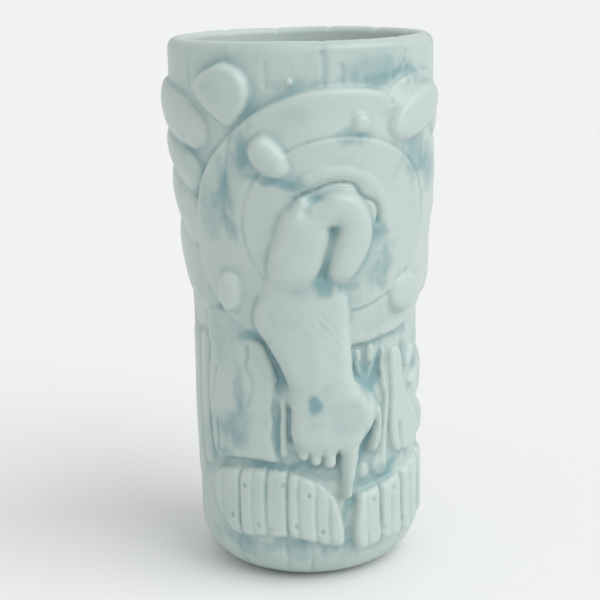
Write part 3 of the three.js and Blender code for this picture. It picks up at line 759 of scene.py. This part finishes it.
# Where glaze gathers: degrees, per cent of the height, half width and half height in millimetres, strength.
pools = [
    (-13.6, 36.5, 1.8, 1.8, 1.1),
    (-12.2, 37.0, 1.1, 1.1, 0.8),
    (4.4, 84.2, 4, 2.0, 0.8),
    (36, 79.5, 5, 5.5, 0.75),
    (46, 76.5, 4, 5, 0.5),
    (-50, 73.5, 2.4, 5.5, 0.8),
    (-47.4, 67.5, 1.6, 4, 0.6),
    (-29, 76.6, 4.4, 1.5, 0.7),
    (-21.5, 76.2, 3.4, 1.3, 0.6),
    (-40.5, 81.8, 2.6, 3.8, 0.8),
    (-38, 88, 1.6, 4, 0.5),
    (20, 95, 8, 2.2, 0.45),
    (32, 93.6, 5, 2.6, 0.6),
    (12, 93, 7, 1.4, 0.4),
    (-15, 92.8, 8, 1.2, 0.35),
    (-7, 58.4, 2.6, 3.4, 0.8),
    (3, 57.4, 4, 1.5, 0.5),
    (17, 60, 2.4, 7, 0.7),
    (16, 67, 1.4, 4, 0.5),
    (12, 29.8, 1.2, 2.2, 0.8),
    (9.6, 25.3, 1.6, 2.2, 0.9),
    (-53.6, 30.8, 4, 4.5, 0.7),
    (-50.8, 38.2, 1.8, 5, 0.6),
    (-72, 29.2, 1.6, 4, 0.5),
    (-62, 24.7, 4, 1.4, 0.6),
    (-30.4, 31, 1.5, 8, 0.7),
    (-39, 48.2, 5, 1.2, 0.7),
    (-30, 42.5, 1.6, 6, 0.6),
    (-50, 23.9, 12, 0.9, 0.5),
    (-20, 23.9, 9, 1.0, 0.8),
    (-6, 21.6, 4, 1.6, 0.6),
    (3, 14, 1.2, 9, 0.8),
    (-35, 8.4, 18, 1.4, 0.6),
    (-48, 6.6, 6, 2, 0.5),
    (-18, 6.8, 7, 2, 0.45),
    (12, 20, 3, 2, 0.6),
    (28, 21.4, 5, 1.6, 0.8),
    (40, 22.4, 4, 1.2, 0.8),
    (16, 39, 3, 5, 0.75),
    (19, 33, 1.6, 6, 0.6),
    (30, 47, 6, 1.2, 0.6),
    (41, 44, 1.6, 6, 0.7),
    (53, 41, 2, 4, 0.5),
    (56, 33, 2, 4, 0.6),
    (62, 26, 3, 5, 0.7),
    (20, 43, 1.2, 3, 0.5),
    (-60, 70, 3, 7, 0.3),
    (110, 70, 6, 16, 0.35),
    (150, 40, 7, 20, 0.35),
    (-150, 60, 7, 20, 0.35),
    (-118, 30, 6, 14, 0.35),
    (180, 80, 9, 12, 0.3),
]


# How strongly the glaze gathers in creases, hollows and the places above, and thins on ridges.
pooling = {
    "creaseReach": 0.75,
    "creases": 0.85,
    "hollowReach": 2.2,
    "hollows": 0.42,
    "ridges": 0.18,
    "spots": 0.9,
    "spread": 1.35,
}


def poolGlaze():
    creases = np.clip(blurred(relief, pooling["creaseReach"]) - relief, -0.35, 1)
    hollows = np.clip(blurred(relief, pooling["hollowReach"]) - relief, -0.8, 1.2)
    broad, middling, small, fine = ripple(21, 6.0), ripple(24, 3.0), ripple(22, 1.4), ripple(23, 0.6)
    # The edge of a pool wanders by these millimetres, and its strength varies as a brush would leave it.
    ragged = (0.45 * ripple(31, 2.0) + 0.3 * ripple(32, 0.8), 0.5 * ripple(33, 2.0) + 0.3 * ripple(34, 0.8))
    brushed = 1 + 0.22 * middling + 0.2 * small + 0.22 * ripple(35, 0.55, 3.5) + 0.1 * fine
    patchy = np.clip(0.6 + 0.4 * broad + 0.3 * middling, 0.1, 1.5)
    amount = pooling["creases"] * creases * (0.85 + 0.2 * small)
    amount += pooling["hollows"] * np.maximum(hollows, 0) * patchy
    amount += pooling["ridges"] * np.minimum(hollows, 0)
    for degrees, percent, halfX, halfY, strength in pools:
        wide, tall = halfX * pooling["spread"], halfY * pooling["spread"]
        spot = dab(halfTurns(degrees), percent, wide, tall, drift=ragged)
        amount += pooling["spots"] * strength * smoothStep(spot * brushed, 0.0, 1.05)
    amount += 0.05 * middling + 0.06 * broad + 0.02 * fine
    return np.clip(0.5 + 0.5 * amount, 0, 1)


pooled = poolGlaze()
print("stage: relief and glaze charted")

# The celadon: its colours where it lies thin, full and deep, how fine its clouds are, and how it shines.
glaze = {
    "cupTones": ((0.605, 0.672, 0.635, 1), (0.465, 0.562, 0.53, 1), (0.20, 0.345, 0.365, 1)),
    "sprigTones": ((0.62, 0.685, 0.645, 1), (0.475, 0.568, 0.532, 1), (0.20, 0.345, 0.365, 1)),
    "freckleTone": (0.30, 0.31, 0.30, 1),
    "freckles": 0.12,
    "broadGrain": 45.0,
    "fineGrain": 260.0,
    "streakGrain": 170.0,
    "grit": 1400.0,
    "peel": 420.0,
    "gritShare": 0.25,
    "pooling": 2.0,
    "clouds": 0.55,
    "streaks": 0.3,
    "poolCurve": 0.8,
    "thinning": 2.2,
    "thinGrain": 0.8,
    "thinStart": 0.1,
    "thinShare": 0.6,
    "roughness": 0.40,
    "thinRough": 0.12,
    "grainRough": 0.12,
    "poolShine": 0.08,
    "ior": 1.5,
    "coat": 0.18,
    "coatRoughness": 0.28,
    "bump": 0.25,
    "bumpDepth": 0.12,
}


def glazeShader(name, thin, body, deep):
    paint = Shader(name)
    place = paint.node("TexCoord", output="Object")
    gathered = paint.node("Attribute", {"attribute_name": "pooled"}, "Fac")
    broad = paint.cloud(paint.stretched(place, (1, 1, 0.6)), glaze["broadGrain"], 4.0)
    fine = paint.cloud(place, glaze["fineGrain"])
    streak = paint.cloud(paint.stretched(place, (1, 1, 0.25)), glaze["streakGrain"])
    pool = (gathered - 0.5) * glaze["pooling"] + (broad - 0.5) * glaze["clouds"]
    pool = (pool + (streak - 0.5) * glaze["streaks"]).limited()
    bare = (0.5 - gathered) * glaze["thinning"] + (fine - 0.5) * glaze["thinGrain"]
    bare = (bare - glaze["thinStart"]).limited()
    colour = paint.colourMix(pool.power(glaze["poolCurve"]), body, deep)
    colour = paint.colourMix(bare * glaze["thinShare"], colour, thin)
    freckle = ((fine - 0.66) * 9.0).limited() * glaze["freckles"]
    paint.feed("Base Color", paint.colourMix(freckle, colour, glaze["freckleTone"]))
    roughness = glaze["roughness"] + bare * glaze["thinRough"] + (fine - 0.5) * glaze["grainRough"]
    paint.feed("Roughness", roughness - pool * glaze["poolShine"])
    paint.feed("IOR", glaze["ior"])
    paint.feed("Coat Weight", glaze["coat"])
    paint.feed("Coat Roughness", glaze["coatRoughness"])
    grit, peel = paint.cloud(place, glaze["grit"], 2.0), paint.cloud(place, glaze["peel"], 2.0)
    height = grit * glaze["gritShare"] + peel * (1 - glaze["gritShare"])
    bump = paint.node("Bump", Height=height, Strength=glaze["bump"], Distance=glaze["bumpDepth"] * mm)
    paint.feed("Normal", bump)
    return paint.material


cupGlaze = glazeShader("celadonOnCup", *glaze["cupTones"])
sprigGlaze = glazeShader("celadonOnSprigs", *glaze["sprigTones"])

# How the meshes are made, and how far clay sinks where another piece hides it. Lengths are in millimetres.
making = {
    "smoothAngle": 60,
    "blank": 4.0,
    "evenClay": 0.5,
    "foot": 1.2,
    "hiddenCup": 0.5,
    "hiddenSprig": 0.2,
    "coverEdge": (1.1, 2.2),
    "steepDrop": 0.3,
    "seamDrop": 0.05,
    "rimDrop": 0.15,
    "proud": 0.03,
    "pressed": 0.8,
}


def setPoints(mesh, points):
    mesh.vertices.foreach_set("co", np.asarray(points, np.float32).ravel())
    mesh.update()


def getPoints(mesh):
    points = np.empty(len(mesh.vertices) * 3, np.float32)
    mesh.vertices.foreach_get("co", points)
    return points.reshape(-1, 3).astype(float)


def storePooled(mesh, values):
    layer = mesh.attributes.new("pooled", "FLOAT", "POINT")
    layer.data.foreach_set("value", np.asarray(values, np.float32))


def finishPiece(piece, node, paint):
    piece.data.materials.clear()
    piece.data.materials.append(paint)
    deselectAll()
    piece.select_set(True)
    bpy.context.view_layer.objects.active = piece
    bpy.ops.object.shade_smooth_by_angle(angle=math.radians(making["smoothAngle"]))
    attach(piece, "root")
    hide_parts(node)


# The cup: half its section is drawn, then spun round the axis and pressed by hand into the carved shape.
def cupSection():
    lipStart = cup["height"] - cup["lipOutside"]
    lipInside = cup["wall"] - cup["lipOutside"]
    lipCentre = float(wallRadius(lipStart)) - cup["lipOutside"]
    innerFoot = cup["waistRadius"] - cup["wall"] - cup["floorFillet"]
    innerBottom = cup["floor"] + cup["floorFillet"]
    foot = cup["footRounding"]
    radius, width, depth = cup["groove"]
    section = [(0, 0), (radius - width, 0), (radius - width * 0.5, 0)]
    for t in (0.2, 0.35, 0.5, 0.65, 0.8):
        section.append((radius - width * 0.5 + width * t, depth * math.sin(math.pi * t)))
    section += [(radius + width * 0.5, 0), (radius + width, 0)]
    for a in np.linspace(0, math.pi / 2, cup["footRows"] + 1)[:-1]:
        section.append((cup["waistRadius"] - foot + foot * math.sin(a), foot - foot * math.cos(a)))
    for z in np.arange(foot, lipStart, cup["rowStep"]):
        section.append((float(wallRadius(z)), z))
    lip = cup["lipOutside"]
    for a in np.linspace(0, math.pi / 2, cup["lipRows"] + 1)[:-1]:
        section.append((lipCentre + lip * math.cos(a), lipStart + lip * math.sin(a)))
    top = cup["height"] - lipInside
    for a in np.linspace(math.pi / 2, math.pi, cup["lipRows"]):
        section.append((lipCentre + lipInside * math.cos(a), top + lipInside * math.sin(a)))
    for z in np.linspace(top, innerBottom, cup["innerRows"] + 2)[1:-1]:
        section.append((float(wallRadius(z)) - cup["wall"], z))
    fillet = cup["floorFillet"]
    for a in np.linspace(0, math.pi / 2, 10):
        section.append((innerFoot + fillet * math.cos(a), innerBottom - fillet * math.sin(a)))
    section += [(innerFoot * 0.6, cup["floor"]), (innerFoot * 0.25, cup["floor"]), (0, cup["floor"])]
    return np.array(section)


def makeCup():
    section = cupSection()
    deselectAll()
    bpy.ops.mesh.primitive_circle_add(vertices=len(section), radius=0.05)
    body = bpy.context.object
    body.name = "cupBody"
    setPoints(body.data, np.stack([section[:, 0], 0 * section[:, 0], section[:, 1]], axis=1) * mm)
    bpy.ops.object.mode_set(mode="EDIT")
    bpy.ops.mesh.select_mode(type="VERT")
    bpy.ops.mesh.select_all(action="DESELECT")
    bpy.ops.object.mode_set(mode="OBJECT")
    for end in (0, len(section) - 1):  # the side that runs up the axis is left out
        body.data.vertices[end].select = True
    bpy.ops.object.mode_set(mode="EDIT")
    bpy.ops.mesh.delete(type="EDGE_FACE")
    bpy.ops.mesh.select_all(action="SELECT")
    bpy.ops.mesh.spin(steps=cup["sides"], angle=2 * math.pi, center=(0, 0, 0), axis=(0, 0, 1),
                      use_auto_merge=True)
    bpy.ops.mesh.select_all(action="SELECT")
    bpy.ops.mesh.remove_doubles(threshold=2e-6)
    bpy.ops.mesh.normals_make_consistent(inside=False)
    bpy.ops.object.mode_set(mode="OBJECT")
    return body


def surfaceUnder(names, hidden):  # the relief, sunk out of the way where other sprigs cover it
    cover = under(names)
    covered = smoothStep(cover, *making["coverEdge"])
    shown = relief - making["steepDrop"] * steep * smoothStep(cover, 0.0, 0.6)
    shown = shown - making["seamDrop"] * smoothStep(cover, 0.3, 0.7)
    return shown * (1 - covered) + np.minimum(shown, hidden) * covered


def carveCup(body):
    points = getPoints(body.data) / mm
    radius = np.hypot(points[:, 0], points[:, 1])
    angle = np.arctan2(points[:, 0], -points[:, 1])
    x, y = angle * chartRadius, points[:, 2]
    outer = (radius > wallRadius(y) - 0.05) & (y > 0.5) & (y < cup["height"] - 0.5)
    start, end = cup["plainLip"]
    over = smoothStep(y, cup["height"] - start, cup["height"] - end)
    shape = surfaceUnder(sprigs, flatWall - making["hiddenCup"])
    lift = sampled(shape, x, y) * (1 - over) * smoothStep(y, 0, 5)
    scale = np.where(outer, (radius + lift) / np.maximum(radius, 1e-6), 1)
    points[:, 0] *= scale
    points[:, 1] *= scale
    start, end = cup["brim"]
    brim = smoothStep(y, cup["height"] - start, cup["height"] - end)
    notch = sampled(relief, x, np.full_like(x, cup["height"] - 5))  # a line cut up to the lip dips it
    points[:, 2] += brim * np.minimum(0, cup["notchShare"] * notch - cup["notchStart"])
    setPoints(body.data, points * mm)
    inside = (radius < wallRadius(y) - 1.5) & (y > cup["floor"] - 0.5)
    values = sampled(pooled, x, y)
    deepEnd = 0.14 + 0.4 * smoothStep(-y, -16, -7) + 0.03 * np.sin(angle * 5)
    storePooled(body.data, np.where(inside, deepEnd, values))


cupBody = makeCup()
carveCup(cupBody)
finishPiece(cupBody, "cup", cupGlaze)
print("stage: cup,", len(cupBody.data.vertices), "points")


def makeSprig(name, sprig, above):
    ring, blank = sprig["ring"], making["blank"]
    deselectAll()
    bpy.ops.mesh.primitive_circle_add(vertices=len(ring), radius=0.01, fill_type="NGON")
    piece = bpy.context.object
    piece.name = name + "_glazed"
    setPoints(piece.data, np.column_stack([ring, np.zeros(len(ring))]) * mm)
    bpy.ops.object.mode_set(mode="EDIT")
    bpy.ops.mesh.select_all(action="SELECT")
    bpy.ops.mesh.extrude_region_move(TRANSFORM_OT_translate={"value": (0, 0, blank * mm)})
    bpy.ops.mesh.select_all(action="SELECT")
    bpy.ops.mesh.normals_make_consistent(inside=False)
    bpy.ops.object.mode_set(mode="OBJECT")
    remesh = piece.modifiers.new("evenClay", "REMESH")
    remesh.mode = "VOXEL"
    remesh.voxel_size = making["evenClay"] * mm
    bpy.ops.object.modifier_apply(modifier=remesh.name)
    points = getPoints(piece.data) / mm
    x, y, rise = points.T
    rim = (1 - steep) * (1 - smoothStep(sprig["depth"], 0.1, 0.6))
    shape = surfaceUnder(above, sprig["seat"] + making["hiddenSprig"])
    top = sampled(shape + making["proud"] - making["rimDrop"] * rim, x, y)
    low = sprig["seat"] - making["foot"]
    share = np.clip(rise / (blank * making["pressed"]), 0, 1)  # the upper part lies on the surface
    setPoints(piece.data, aroundMug(x, y, low + (top - low) * share))
    storePooled(piece.data, sampled(pooled, x, y))
    finishPiece(piece, name, sprigGlaze)
    return piece


above = []
total = 0
for name, sprig in sprigs.items():
    total += len(makeSprig(name, sprig, above).data.polygons)
    above.append(name)
print("stage:", len(above), "sprigs,", total, "faces")
